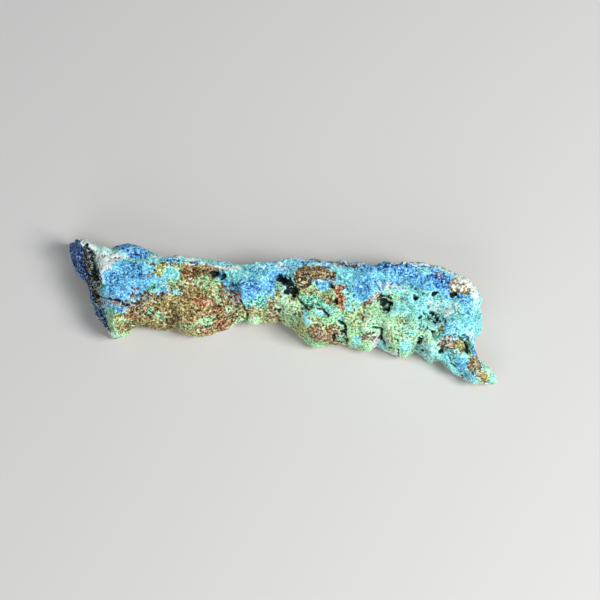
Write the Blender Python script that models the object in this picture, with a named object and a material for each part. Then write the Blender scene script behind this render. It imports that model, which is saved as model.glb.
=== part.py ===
"""A chrysocolla specimen: a long splinter of copper-vein rock, grown and broken as one piece.

It lies on its broken back with its crusted show side up. +X runs along the splinter towards its hooked
tail, +Y towards its thicker far side, +Z up from the surface it rests on. The origin is at the middle of
the stone's outline on that surface. Lengths are in millimetres until the mesh is scaled to metres.

The show side is the top face together with the bevelled near wall. Its features are placed in the show
plane: x along the stone, and q up the slope of a plane that leans towards the near side by SHOW_LEAN.
"""

from dataclasses import dataclass
from math import cos, sin

import bmesh
import bpy
import numpy as np
from mathutils import Vector, noise

# ---- driving dimensions, in millimetres -------------------------------------------------------------
MM = 0.001
FACE_HEIGHT = 11.0  # height of the show face above the table, midway across the stone
FACE_SLOPE = 0.15  # rise of the show face per millimetre towards the far side
TAIL_HEIGHT = 7.0  # height of the hooked tail
TAIL_START = Vector((33.0, -8.0))  # where the tail leaves the body
TAIL_RUN = 4.0  # distance over which the height falls from body to tail
SHOW_LEAN = 0.384  # radians
SHOW_ZERO = np.array((-1.2, 0.9))  # where the zero of the show plane lies, in its own right and up
END_SLOPE = ((-8.8, 0.0), (8.6, 1.0), (13.5, 0.6))  # share of its full slope that the left end has at each y
END_RUN = 6.0  # how far along the stone the slope of the left end is felt
CORNER = Vector((-36.8, 13.5))  # the far left corner lies left of the first and ends at the second
CORNER_RUN = 5.0  # how far towards the near side the drawing in of that corner is felt
SEAM_HEIGHT = 7.3  # height of the parting between crust and vein rock on the side walls
SEAM_WIDTH = 0.55
SEAM_DEPTH = 0.7
BASE_SINK = 0.5  # depth worn off the underside, which leaves the flat that it rests on
FLAT_TOLERANCE = 0.02  # corners this close to the flat belong to it
VOXEL = 0.45  # cell of the remeshed stone
TRIANGLES = 9800  # triangles kept in the finished stone

# The stone's widest outline seen from above, anticlockwise from the near left corner.
NEAR_EDGE = (
    (-32.3, -6.3), (-30.7, -5.0), (-29.7, -4.4), (-27.8, -4.6), (-25.9, -4.3), (-23.1, -4.5), (-21.6, -3.7),
    (-20.2, -5.2), (-18.4, -6.1), (-16.4, -6.1), (-14.5, -5.3), (-12.6, -4.8), (-10.8, -4.0), (-9.8, -3.2),
    (-8.8, -2.6), (-7.4, -2.9), (-6.7, -3.5), (-3.7, -2.6), (-1.2, -2.6), (0.8, -3.4), (1.8, -4.1),
    (2.7, -5.0), (3.5, -6.1), (4.5, -6.9), (5.9, -7.4), (7.3, -7.2), (9.2, -7.0), (11.1, -7.3),
    (13.2, -7.5), (14.9, -7.9), (16.8, -6.6), (18.3, -7.6), (19.5, -9.2), (20.7, -10.1), (22.4, -10.6),
    (23.8, -9.3), (24.6, -8.0), (25.6, -9.4), (27.0, -11.1), (28.6, -10.5), (29.6, -10.7), (31.0, -12.2),
    (33.0, -13.0), (34.6, -15.0),
)
TAIL_EDGE = (
    (37.6, -15.6), (39.3, -15.5), (39.4, -14.4), (39.3, -13.2), (38.6, -12.2), (37.5, -11.5), (36.3, -11.0),
)
RIGHT_EDGE = (
    (35.6, -10.0), (35.3, -8.5), (35.1, -6.7), (35.4, -5.0), (36.0, -3.1), (36.8, -1.9), (36.7, 0.0),
    (36.2, 1.7), (35.3, 3.1), (33.9, 4.6),
)
FAR_EDGE = (
    (32.0, 6.1), (30.1, 7.0), (27.2, 7.7), (24.4, 7.5), (21.5, 7.9), (18.7, 7.9), (16.8, 7.4), (13.0, 7.4),
    (7.3, 8.2), (3.5, 8.5), (0.6, 9.6), (-2.2, 9.2), (-5.6, 8.2), (-7.9, 7.5), (-10.7, 7.4), (-13.6, 8.3),
    (-15.8, 8.8), (-18.6, 9.0), (-21.2, 9.6), (-23.9, 9.0), (-25.2, 9.6), (-26.9, 10.9), (-28.8, 11.9),
    (-30.5, 12.1), (-32.2, 11.4), (-34.5, 9.9), (-36.4, 10.7),
)
END_EDGE = (
    (-37.6, 12.1), (-39.5, 13.4), (-42.0, 14.2), (-42.1, 11.4), (-41.4, 8.8), (-40.2, 7.2), (-39.0, 5.9),
    (-38.8, 4.4), (-38.4, 2.8), (-37.2, 0.8), (-35.9, -1.2), (-35.0, -2.9), (-34.2, -4.3), (-33.5, -5.7),
)
OUTLINE = NEAR_EDGE + TAIL_EDGE + RIGHT_EDGE + FAR_EDGE + END_EDGE


@dataclass(frozen=True)
class Level:
    """One closed loop round the stone: its share of the local height, and how far it is drawn in."""

    height: float
    near: float
    far: float
    end: float
    right: float
    corner: float


LEVELS = (
    Level(height=0.00, near=2.0, far=1.4, end=0.9, right=1.6, corner=0.8),
    Level(height=0.16, near=0.6, far=0.2, end=0.1, right=0.4, corner=0.0),
    Level(height=0.45, near=0.0, far=0.0, end=1.0, right=0.0, corner=0.0),
    Level(height=0.76, near=0.5, far=0.5, end=3.0, right=0.2, corner=2.2),
    Level(height=0.93, near=1.4, far=1.2, end=4.3, right=0.7, corner=3.0),
    Level(height=1.00, near=2.8, far=2.8, end=5.4, right=1.6, corner=3.7),
)


@dataclass(frozen=True)
class Lump:
    """A rounded swelling of the surface, or with a negative rise a hollow in it."""

    centre: tuple
    radii: tuple
    rise: float
    turn: float = 0.0
    edge: float = 2.0  # 2 is a soft bell, higher numbers give flatter tops and steeper sides


@dataclass(frozen=True)
class Groove:
    """A crack or a ledge along a line. The drop lowers the ground on the line's right hand."""

    line: tuple
    width: float
    depth: float
    drop: float = 0.0
    reach: float = 0.0  # how far the drop carries sideways


@dataclass(frozen=True)
class Break:
    """A flat fracture plane: what stands beyond it is knocked back towards it, out to its reach."""

    point: tuple
    normal: tuple
    reach: float
    share: float = 0.85


# Features of the show side, placed in the show plane.
LUMPS = (
    Lump((-28.0, 12.0), (3.2, 1.7), 0.9),  # azurite knob on the far edge
    Lump((-36.6, 12.8), (1.4, 1.2), 0.6),  # pale tip at the far left
    Lump((-29.0, 6.2), (6.0, 3.8), 0.7, edge=3.0),  # blue block at the left
    Lump((-20.6, 6.6), (2.8, 2.2), 0.4),
    Lump((-18.0, 2.0), (8.0, 4.6), -0.8, edge=3.0),  # broken-out brown hollow
    Lump((-14.8, 2.0), (2.4, 1.3), 0.6),
    Lump((-29.8, 1.2), (3.2, 1.0), 0.6, edge=3.0),  # lower lip of the blue crust
    Lump((-14.5, -3.0), (4.5, 1.7), 0.6),
    Lump((-4.6, 4.6), (3.8, 3.4), 0.9, edge=3.0),  # blue swelling over the neck
    Lump((3.9, 6.4), (1.9, 2.0), 1.0),  # rusty knobs on the face
    Lump((7.6, 7.2), (2.1, 0.9), 0.8),
    Lump((10.6, 4.5), (1.2, 0.9), 0.6),
    Lump((11.4, 2.2), (1.3, 1.8), 0.6),
    Lump((8.0, -4.2), (3.6, 2.0), 1.1),  # rounded brown foot
    Lump((4.6, -1.6), (1.1, 1.5), 0.5),
    Lump((15.6, 4.8), (2.4, 2.0), 0.5),
    Lump((23.5, 8.2), (8.5, 1.6), 0.8),  # blue ridge along the far right
    Lump((22.0, 3.6), (3.0, 1.6), 0.5),
    Lump((15.2, -2.4), (3.6, 2.8), 0.5),
    Lump((22.0, -4.4), (3.0, 2.4), 0.5),
    Lump((31.6, -0.4), (4.2, 3.6), 0.8),
    Lump((34.3, 5.0), (2.0, 1.6), 0.5),  # tan corner
    Lump((31.8, -5.6), (2.2, 1.8), 0.6),
    Lump((34.0, -7.8), (1.0, 0.7), 0.7),
    Lump((37.2, -10.4), (1.7, 2.8), 0.8, turn=0.5),  # ridge of the tail
    Lump((33.0, -9.9), (2.2, 1.4), 0.5),
)
PITS = (
    Lump((-12.5, 7.1), (1.4, 0.6), -1.5, turn=-0.1, edge=4.0),  # pocket under the ledge
    Lump((-0.4, 6.2), (1.3, 0.9), -1.5, turn=-0.6, edge=4.0),  # dark pocket in two steps
    Lump((2.0, 3.9), (1.0, 1.5), -1.7, turn=0.4, edge=4.0),
    Lump((9.8, 1.9), (0.8, 0.8), -0.9, edge=3.0),
    Lump((19.5, 1.7), (1.2, 1.5), -1.8, turn=0.2, edge=4.0),  # round vug
    Lump((25.5, 3.0), (0.8, 0.7), -0.8, edge=3.0),
    Lump((28.9, 3.4), (0.8, 0.5), -0.8, turn=0.7, edge=3.0),
    Lump((28.6, -0.5), (1.6, 1.4), -0.8, turn=0.6, edge=3.0),  # spongy patch
    Lump((26.6, -3.2), (1.2, 0.6), -0.9, turn=-0.5, edge=3.0),
    Lump((28.8, -4.1), (0.8, 0.6), -0.9, turn=-0.7, edge=3.0),
    Lump((26.3, -6.2), (0.8, 1.2), -1.3, edge=4.0),
    Lump((32.6, 3.2), (0.8, 0.7), -0.8, edge=3.0),
    Lump((34.8, -6.4), (0.8, 1.4), -1.7, turn=0.3, edge=4.0),  # vug at the root of the tail
    Lump((30.6, -7.9), (1.0, 0.8), -0.8, edge=3.0),
    Lump((32.4, -9.6), (0.6, 1.2), -0.8, turn=0.3, edge=3.0),
)
GROOVES = (
    Groove(((-19.0, 8.2), (-13.5, 7.8), (-11.3, 7.3), (-10.5, 6.2), (-9.0, 5.3), (-8.6, 3.8), (-8.8, 2.6),
            (-7.6, 1.2), (-6.6, -0.4), (-7.0, -1.6)),
           width=0.5, depth=1.0, drop=0.9, reach=3.6),  # fissure where the blue crust ends
    Groove(((-35.2, 2.9), (-33.4, 2.4), (-31.0, 2.1), (-30.0, 2.2), (-28.8, 1.3)),
           width=0.4, depth=1.1),  # crack through the blue block
    Groove(((-27.2, 0.6), (-26.0, -0.3), (-24.6, -1.4)), width=0.4, depth=0.9),
    Groove(((-25.0, 0.0), (-23.0, -0.9), (-21.7, -1.7)), width=0.35, depth=0.7),
    Groove(((-34.6, 10.4), (-31.0, 9.7), (-27.0, 9.9), (-22.0, 9.7), (-16.0, 9.4), (-10.0, 8.6)),
           width=0.45, depth=0.5, drop=-0.3, reach=1.4),  # parting between face and far bevel
    Groove(((3.7, 1.7), (5.0, 0.6)), width=0.4, depth=1.0),
    Groove(((7.4, 0.5), (8.5, -0.6)), width=0.35, depth=0.8),
    Groove(((10.6, -1.6), (12.2, -3.0), (11.2, -4.2), (12.2, -5.8)), width=0.4, depth=1.1),
    Groove(((17.4, -2.8), (18.8, -3.1), (18.9, -4.9), (19.7, -5.9), (19.7, -7.0)), width=0.4, depth=1.2),
    Groove(((20.4, -6.9), (21.9, -7.2), (22.3, -8.2)), width=0.35, depth=0.9),
    Groove(((17.7, 5.8), (18.1, 4.9), (18.8, 4.4)), width=0.35, depth=0.6),
    Groove(((23.7, 5.5), (24.8, 4.8), (25.6, 4.1)), width=0.35, depth=0.6),
    Groove(((-37.4, 12.6), (-36.5, 9.6), (-35.7, 6.4), (-35.3, 3.2)),
           width=0.7, depth=1.9),  # dark gap between the crust and the azurite of the left end
    Groove(((-35.3, 3.2), (-34.4, 0.6), (-33.4, -1.8)), width=0.5, depth=0.9),
)

# Hollows of the underside, placed in plan.
UNDERSIDE = (
    Lump((-38.0, 8.0), (4.0, 5.0), 1.4, edge=3.0),
    Lump((-28.0, -3.6), (4.5, 2.6), 1.3, edge=3.0),
    Lump((-8.0, 1.6), (6.5, 5.5), 2.2, edge=3.0, turn=0.2),  # arch under the neck
    Lump((14.0, 6.0), (6.0, 2.6), 1.4, edge=3.0),
    Lump((35.5, 2.0), (3.5, 4.5), 1.2, edge=3.0),
    Lump((20.0, -8.0), (5.0, 2.6), 1.4, edge=3.0, turn=-0.2),
)

BREAKS = (
    Break((-40.2, 9.0, 4.0), (-0.80, -0.36, 0.48), 6.0),  # the shadowed left end
    Break((-36.2, -0.4, 4.0), (-0.88, -0.42, 0.22), 6.0),
    Break((-30.0, 9.8, 9.6), (0.00, 0.62, 0.78), 8.0, 0.4),  # bevel above the far left side
    Break((-20.0, 8.4, 4.0), (0.10, 0.98, -0.16), 12.0),  # the far side, in three breaks
    Break((-3.0, 7.3, 4.0), (-0.05, 0.99, 0.12), 10.0),
    Break((18.0, 7.0, 5.0), (0.05, 0.98, -0.20), 14.0),
    Break((31.0, 5.4, 6.0), (0.45, 0.88, 0.12), 7.0),
    Break((37.4, -3.0, 6.0), (0.98, 0.10, 0.14), 6.0, 0.6),  # the right end
    Break((-24.0, -5.0, 3.0), (0.05, -0.97, -0.24), 8.0),  # the near side
    Break((10.0, -8.3, 3.0), (-0.08, -0.95, -0.30), 8.0),
    Break((22.0, -9.9, 3.0), (0.05, -0.93, -0.35), 6.0),
    Break((37.4, -13.6, 6.2), (0.30, -0.15, 0.94), 4.0, 0.6),  # top of the tail
    Break((-33.0, 3.0, 0.7), (-0.24, 0.05, -0.97), 9.0),  # the broken back, round its flat
    Break((34.0, -3.0, 0.7), (0.26, 0.04, -0.96), 9.0),
    Break((38.0, -14.0, 1.3), (0.20, -0.30, -0.93), 5.0),
    Break((12.0, 6.2, 0.8), (0.02, 0.34, -0.94), 11.0),
    Break((-18.0, -4.6, 0.8), (-0.05, -0.38, -0.92), 9.0),
)


def smooth_step(share):
    """Eases a share from 0 to 1."""
    share = np.clip(share, 0.0, 1.0)
    return share * share * (3.0 - 2.0 * share)


def face_height(x, y):
    """Height of the untouched show face above the table at a point of the plan."""
    body = FACE_HEIGHT + FACE_SLOPE * y
    along = (x - TAIL_START.x) * 0.45 - (y - TAIL_START.y) * 0.9
    return body + (TAIL_HEIGHT - body) * float(smooth_step(along / TAIL_RUN))


def outward_normals(points):
    """The outline's outward direction at each of its corners."""
    count = len(points)
    normals = []
    for i in range(count):
        along = points[(i + 1) % count] - points[i - 1]
        normals.append(Vector((along.y, -along.x)).normalized())
    return normals


def level_loop(level):
    """The corners of one loop round the stone, drawn in from the outline by side."""
    points = [Vector(p) for p in OUTLINE]
    end_y, end_x = zip(*sorted((y, x) for x, y in END_EDGE))
    loop = []
    for point, out in zip(points, outward_normals(points)):
        if point.x < CORNER.x and point.y > 0.0:
            drawn = point - Vector((0.0, level.corner * max(1.0 - (CORNER.y - point.y) / CORNER_RUN, 0.0)))
        else:
            drawn = point - out * (
                level.near * max(-out.y, 0.0) ** 2
                + level.far * max(out.y, 0.0) ** 2
                + level.right * max(out.x, 0.0) ** 2
            )
        slope = float(np.interp(point.y, *zip(*END_SLOPE)))
        nearness = 1.0 - (point.x - float(np.interp(point.y, end_y, end_x))) / END_RUN
        drawn.x += level.end * slope * min(max(nearness, 0.0), 1.0)
        loop.append((drawn.x, drawn.y, level.height * face_height(drawn.x, drawn.y)))
    return loop


def rough_block():
    """The stone as a stack of loops, bridged and capped."""
    block = bmesh.new()
    rings = [[block.verts.new(corner) for corner in level_loop(level)] for level in LEVELS]
    for lower, upper in zip(rings, rings[1:]):
        for i in range(len(lower)):
            j = (i + 1) % len(lower)
            block.faces.new((lower[i], lower[j], upper[j], upper[i]))
    block.faces.new(tuple(reversed(rings[0])))
    block.faces.new(tuple(rings[-1]))
    bmesh.ops.triangulate(block, faces=[f for f in block.faces if len(f.verts) > 4])
    bmesh.ops.recalc_face_normals(block, faces=block.faces)
    mesh = bpy.data.meshes.new("chrysocolla_specimen")
    block.to_mesh(mesh)
    block.free()
    return mesh


def settle(stone):
    """Replaces the stone's mesh by what its modifiers make of it."""
    graph = bpy.context.evaluated_depsgraph_get()
    graph.update()
    made = bpy.data.meshes.new_from_object(stone.evaluated_get(graph))
    old = stone.data
    stone.modifiers.clear()
    stone.data = made
    bpy.data.meshes.remove(old)


def remesh(stone):
    """Gives the stone an even mesh without folds or inner walls."""
    grid = stone.modifiers.new("remesh", "REMESH")
    grid.mode = "VOXEL"
    grid.voxel_size = VOXEL
    settle(stone)


def read(mesh):
    """The mesh's points and normals as arrays."""
    points = np.empty(len(mesh.vertices) * 3)
    mesh.vertices.foreach_get("co", points)
    normals = np.empty(len(mesh.vertices) * 3)
    mesh.vertex_normals.foreach_get("vector", normals)
    return points.reshape(-1, 3), normals.reshape(-1, 3)


def write(mesh, points):
    """Puts the points back into the mesh."""
    mesh.vertices.foreach_set("co", points.ravel())
    mesh.update()


def lump_share(places, lump):
    """How much of a lump's rise each place gets."""
    offset = places - np.array(lump.centre)
    c, s = np.cos(lump.turn), np.sin(lump.turn)
    across = (offset[:, 0] * c + offset[:, 1] * s) / lump.radii[0]
    along = (offset[:, 1] * c - offset[:, 0] * s) / lump.radii[1]
    return np.exp(-np.hypot(across, along) ** lump.edge)


def groove_field(places, groove):
    """Distance of each place from the groove's line, and how far it lies to the left of it."""
    nearest = np.full(len(places), 1e9)
    side = np.zeros(len(places))
    for start, end in zip(groove.line, groove.line[1:]):
        a, b = np.array(start), np.array(end)
        run = b - a
        t = np.clip(((places - a) @ run) / (run @ run), 0.0, 1.0)
        gap = places - (a + t[:, None] * run)
        distance = np.hypot(gap[:, 0], gap[:, 1])
        closer = distance < nearest
        nearest = np.where(closer, distance, nearest)
        side = np.where(closer, (run[0] * gap[:, 1] - run[1] * gap[:, 0]) / np.linalg.norm(run), side)
    return nearest, side


def carve_show_side(points, normals):
    """Raises the lumps of the show side and sinks its pits, ledges and cracks."""
    show = np.array((0.0, -sin(SHOW_LEAN), cos(SHOW_LEAN)))
    places = np.column_stack((points[:, 0], points[:, 1] * cos(SHOW_LEAN) + points[:, 2] * sin(SHOW_LEAN))) - SHOW_ZERO
    rise = np.zeros(len(points))
    for lump in LUMPS + PITS:
        rise += lump.rise * lump_share(places, lump)
    for groove in GROOVES:
        distance, side = groove_field(places, groove)
        rise -= groove.depth * np.exp(-((distance / groove.width) ** 2))
        if groove.reach:
            rise -= groove.drop * np.exp(-((distance / groove.reach) ** 2)) * smooth_step(0.5 - side / 0.8)
    return points + np.outer(rise * smooth_step((normals @ show) / 0.45), show)


def carve_walls(points, normals):
    """Sinks the parting between crust and vein rock into the walls that stand away from the show side."""
    wall = smooth_step((np.abs(normals[:, 0]) + normals[:, 1] - 0.3) / 0.5)
    shares = []
    for x, y, z in points:
        wave = noise.noise(Vector((x, y, 0.0)) / 11.0)
        gap = (z - SEAM_HEIGHT - 1.6 * wave) / SEAM_WIDTH
        shares.append(np.exp(-gap * gap) * max(0.0, 0.6 + noise.noise(Vector((x, y, 30.0)) / 5.0)))
    return points - normals * (SEAM_DEPTH * wall * np.array(shares))[:, None]


def carve_underside(points, normals):
    """Hollows the underside between the parts that rest on the table."""
    under = np.clip(-normals[:, 2], 0.0, 1.0)
    for hollow in UNDERSIDE:
        points[:, 2] += hollow.rise * lump_share(points[:, :2], hollow) * under
    return points


def knock_back(points, normals):
    """Flattens the stone's sides into fracture planes."""
    for cut in BREAKS:
        normal = np.array(cut.normal) / np.linalg.norm(cut.normal)
        offset = points - np.array(cut.point)
        beyond = np.clip(offset @ normal, 0.0, None)
        facing = np.clip(normals @ normal, 0.0, 1.0)
        nearby = np.exp(-(np.linalg.norm(offset, axis=1) / cut.reach) ** 4)
        points = points - np.outer(beyond * cut.share * facing * nearby, normal)
    return points


def weather(points, normals, size, height, seed, octaves=3, basis="PERLIN_ORIGINAL"):
    """Pushes the surface in and out by a fractal noise whose coarsest bumps have the given size."""
    shift = Vector((seed * 7.3, seed * 3.1, seed * 5.7))
    share = np.array([
        noise.fractal(Vector(p) / size + shift, 0.9, 2.1, octaves, noise_basis=basis) for p in points
    ])
    return points + normals * (height * (share - share.mean()))[:, None]


def wear_flat(points, normals):
    """Levels what lies below the table plane, so that the stone rests on a true flat."""
    return np.column_stack((points[:, :2], np.maximum(points[:, 2], BASE_SINK)))


def sculpt(stone):
    """Breaks, carves and weathers the block, with a fresh mesh between the coarse and the fine work."""
    coarse = (
        lambda p, n: weather(p, n, size=10.0, height=0.7, seed=1, octaves=2),
        lambda p, n: weather(p, n, size=7.0, height=0.6, seed=3, octaves=2, basis="VORONOI_F2F1"),
        knock_back,
        carve_underside,
        carve_show_side,
        carve_walls,
    )
    fine = (
        lambda p, n: weather(p, n, size=2.6, height=0.4, seed=2),
        wear_flat,
    )
    for steps in (coarse, fine):
        remesh(stone)
        for step in steps:
            write(stone.data, step(*read(stone.data)))


def centre_on_table(mesh):
    """Moves the stone to the middle of its own outline, stands it on the table and scales it to metres."""
    points, _ = read(mesh)
    points[points[:, 2] < BASE_SINK + FLAT_TOLERANCE, 2] = BASE_SINK
    low, high = points.min(axis=0), points.max(axis=0)
    middle = np.array([(low[0] + high[0]) / 2.0, (low[1] + high[1]) / 2.0, BASE_SINK])
    write(mesh, (points - middle) * MM)


def rock_material():
    """The stone's average finish: dull turquoise crust over brown vein rock."""
    material = bpy.data.materials.new("chrysocolla_crust")
    material.use_nodes = True
    shader = material.node_tree.nodes["Principled BSDF"]
    shader.inputs["Base Color"].default_value = (0.30, 0.50, 0.46, 1.0)
    shader.inputs["Roughness"].default_value = 0.7
    shader.inputs["Metallic"].default_value = 0.0
    return material


def build():
    """Builds the specimen in an empty scene."""
    for old in list(bpy.data.objects):
        bpy.data.objects.remove(old)
    stone = bpy.data.objects.new("chrysocolla_specimen", rough_block())
    bpy.context.scene.collection.objects.link(stone)
    sculpt(stone)

    thin = stone.modifiers.new("thin", "DECIMATE")
    thin.ratio = TRIANGLES / (2.0 * len(stone.data.polygons))
    settle(stone)
    centre_on_table(stone.data)
    stone.data.shade_flat()
    stone.data.materials.append(rock_material())


build()
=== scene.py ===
"""Dresses the chrysocolla specimen: crust grains, pits, cracks and mineral colours, with its studio.

The stone is one piece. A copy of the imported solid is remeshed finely, the minerals of its show side are
laid out in squares of a survey grid, and each mineral gives the surface its own relief and colours. The
faces that the survey doesn't reach are vein rock, with the crust lapping over their upper edge.
"""

import logging
from dataclasses import dataclass
from enum import Enum
from math import cos, log, radians, sin

import bpy
import numpy as np
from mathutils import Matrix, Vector, noise


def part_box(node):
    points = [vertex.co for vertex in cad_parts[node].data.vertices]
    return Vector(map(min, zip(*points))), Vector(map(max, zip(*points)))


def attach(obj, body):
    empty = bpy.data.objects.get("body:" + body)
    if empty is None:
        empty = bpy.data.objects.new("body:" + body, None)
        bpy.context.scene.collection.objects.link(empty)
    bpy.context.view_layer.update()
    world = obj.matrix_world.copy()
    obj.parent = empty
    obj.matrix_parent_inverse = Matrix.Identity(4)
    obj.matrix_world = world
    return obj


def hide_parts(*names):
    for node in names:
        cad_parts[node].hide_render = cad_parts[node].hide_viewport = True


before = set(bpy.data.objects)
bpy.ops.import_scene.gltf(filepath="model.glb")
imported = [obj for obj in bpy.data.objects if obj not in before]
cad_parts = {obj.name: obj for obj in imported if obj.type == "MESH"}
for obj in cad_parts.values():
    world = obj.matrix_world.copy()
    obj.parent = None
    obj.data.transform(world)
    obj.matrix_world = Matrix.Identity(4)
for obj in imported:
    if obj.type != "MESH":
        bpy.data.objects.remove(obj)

LOG = logging.getLogger("chrysocolla")
MM = 0.001
Line = tuple[tuple[float, float], ...]  # corners on the survey grid


# ---- the survey grid ----------------------------------------------------------------------------------
@dataclass(frozen=True)
class SurveyGrid:
    """A grid of squares over the show side, seen from one point above it. Squares count right and down."""

    aim: Vector = Vector((0.00377, 0.00117, 0.0055))
    elevation: float = radians(68.0)
    distance: float = 0.40
    square: float = 0.00019
    middle: float = 300.0

    def back(self) -> Vector:
        """Returns the unit vector from the aim towards the survey point."""
        return Vector((0.0, -cos(self.elevation), sin(self.elevation)))

    def station(self) -> Vector:
        """Returns the place of the survey point, in metres."""
        return self.aim + self.back() * self.distance

    def squares(self, points: np.ndarray) -> tuple[np.ndarray, np.ndarray]:
        """Finds the grid square that each point is seen in.

        Args:
            points: Places on the stone, in metres, one row each.

        Returns:
            The count of squares to the right and down, one number each per point.
        """
        back = np.array(self.back())
        up = np.array((0.0, sin(self.elevation), cos(self.elevation)))
        rel = points - np.array(self.station())
        scale = self.distance / self.square / -(rel @ back)
        return self.middle + rel[:, 0] * scale, self.middle - (rel @ up) * scale

    def facing(self, normals: np.ndarray) -> np.ndarray:
        """Returns how squarely each normal faces the survey, 1 for straight on and below 0 for away."""
        return normals @ np.array(self.back())


# ---- minerals -----------------------------------------------------------------------------------------
class Mineral(Enum):
    """The minerals of the specimen, and the painted shade of its pits. The value is the name of the mesh
    attribute that holds its share.
    """

    NAVY = "azurite_dark"
    AZURITE = "azurite"
    AZURE = "azure_crust"
    CYAN = "turquoise_crust"
    GREEN = "green_crust"
    TEAL = "teal_crust"
    OLIVE = "olive_crust"
    OCHRE = "ochre_rock"
    BROWN = "brown_rock"
    RUST = "rust_stain"
    PINK = "pink_stain"
    WHITE = "pale_crust"
    # painted shade, not a mineral: near-black colour for the shadow in pits, cracks and crevices
    DARK = "dark_hollow"


NAVY, AZURITE, AZURE, CYAN, GREEN, TEAL, OLIVE, OCHRE, BROWN, RUST, PINK, WHITE, DARK = Mineral


@dataclass(frozen=True)
class Finish:
    """The looks of one mineral: tones from hollow to crest, as painted shade and painted highlight over its
    random grain, contrast, roughness, and relief in mm.
    """

    deep: str
    mid: str
    pale: str
    contrast: float
    roughness: float
    thickness: float
    dome: float
    crumble: float
    facet: float


Shares = dict[Mineral, np.ndarray]  # how much of each mineral lies at each vertex
FINISHES: dict[Mineral, Finish] = {
    NAVY: Finish("#01051c", "#0b2674", "#4690ea", 0.80, 0.45, 0.02, 0.05, 0.10, 0.18),
    AZURITE: Finish("#0c3a8e", "#348ae4", "#8cdcff", 0.72, 0.50, 0.12, 0.12, 0.06, 0.10),
    AZURE: Finish("#3a7fae", "#5cbcf2", "#a8f0ff", 0.50, 0.60, 0.16, 0.15, 0.05, 0.08),
    CYAN: Finish("#428c92", "#7ae2e6", "#c4fffa", 0.46, 0.56, 0.18, 0.16, 0.04, 0.06),
    GREEN: Finish("#547e54", "#a4e4a8", "#d4fed8", 0.50, 0.64, 0.14, 0.16, 0.05, 0.06),
    TEAL: Finish("#145446", "#54bc9e", "#a0f6da", 0.90, 0.60, 0.10, 0.15, 0.05, 0.06),
    OLIVE: Finish("#585c26", "#a6b068", "#e6f0b0", 0.75, 0.72, 0.07, 0.13, 0.08, 0.08),
    OCHRE: Finish("#5a4520", "#a0864e", "#e6d89c", 0.62, 0.80, 0.03, 0.09, 0.11, 0.12),
    BROWN: Finish("#34260f", "#7c6236", "#c4b284", 0.66, 0.82, 0.02, 0.07, 0.12, 0.16),
    RUST: Finish("#50240e", "#a8623a", "#dca47a", 0.80, 0.84, 0.04, 0.09, 0.11, 0.10),
    PINK: Finish("#4c3430", "#9e7c76", "#dcc4bc", 0.80, 0.78, 0.04, 0.07, 0.08, 0.10),
    WHITE: Finish("#8c9a98", "#e0eeea", "#fbfffd", 0.50, 0.55, 0.16, 0.08, 0.05, 0.08),
    # painted shade of the pits: near-black tones, with a negative thickness that sinks them
    DARK: Finish("#020609", "#0b1a20", "#3c6c74", 1.00, 0.60, -0.20, 0.06, 0.08, 0.05),
}


# ---- the layout of the show side, in grid squares -----------------------------------------------------
class Oval:
    """What ovals on the grid have in common. Each holds u, v, long, wide and turn."""

    def reach(self, u: np.ndarray, v: np.ndarray) -> np.ndarray:
        """Measures places from the middle of the oval.

        Args:
            u: Squares to the right of each place.
            v: Squares down of each place.

        Returns:
            0 in the middle, 1 on the rim and more outside.
        """
        a = radians(self.turn)
        du, dv = u - self.u, v - self.v
        return np.hypot((du * cos(a) + dv * sin(a)) / self.long, (dv * cos(a) - du * sin(a)) / self.wide)


@dataclass(frozen=True)
class Patch(Oval):
    """A ragged oval of one mineral. A share below 1 leaves it in islands."""

    mineral: Mineral
    u: float
    v: float
    long: float
    wide: float
    turn: float = 0.0  # degrees, clockwise as the survey sees it
    share: float = 1.0

    @property
    def size(self) -> float:
        """Its width in squares."""
        return 2.0 * min(self.long, self.wide)

    def cover(self, u: np.ndarray, v: np.ndarray) -> np.ndarray:
        """Returns how far inside the oval each place lies, in squares, below 0 outside."""
        return (1.0 - self.reach(u, v)) * min(self.long, self.wide)


@dataclass(frozen=True)
class Strip:
    """A band of one mineral along a line."""

    mineral: Mineral
    line: Line
    width: float
    share: float = 1.0

    @property
    def size(self) -> float:
        """Its width in squares."""
        return self.width

    def cover(self, u: np.ndarray, v: np.ndarray) -> np.ndarray:
        """Returns how far inside the band each place lies, in squares, below 0 outside."""
        return self.width / 2 - line_distance(self.line, u, v)


@dataclass(frozen=True)
class Pit(Oval):
    """A ragged hollow. Its depth is in mm."""

    u: float
    v: float
    long: float
    wide: float
    turn: float
    depth: float


@dataclass(frozen=True)
class Crack:
    """An open crack along a line. Its width is in squares and its depth in mm."""

    line: Line
    width: float
    depth: float


def line_distance(line: Line, u: np.ndarray, v: np.ndarray) -> np.ndarray:
    """Finds how far places on the grid lie from a line of straight runs.

    Args:
        line: The corners of the line, in squares.
        u: Squares to the right of each place.
        v: Squares down of each place.

    Returns:
        The distance of each place, in squares.
    """
    best = np.full(u.shape, np.inf)
    for (u0, v0), (u1, v1) in zip(line, line[1:]):
        du, dv = u1 - u0, v1 - v0
        t = np.clip(((u - u0) * du + (v - v0) * dv) / (du * du + dv * dv), 0.0, 1.0)
        best = np.minimum(best, np.hypot(u - u0 - t * du, v - v0 - t * dv))
    return best


def feature(mineral: Mineral, start: float | Line, *rest: float) -> Patch | Strip:
    """Makes a strip where the mineral is followed by a line, and otherwise a patch."""
    return (Strip if isinstance(start, tuple) else Patch)(mineral, start, *rest)


# rows of the pit shade paint pits, cracks and crevices near black, as painted shade
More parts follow.
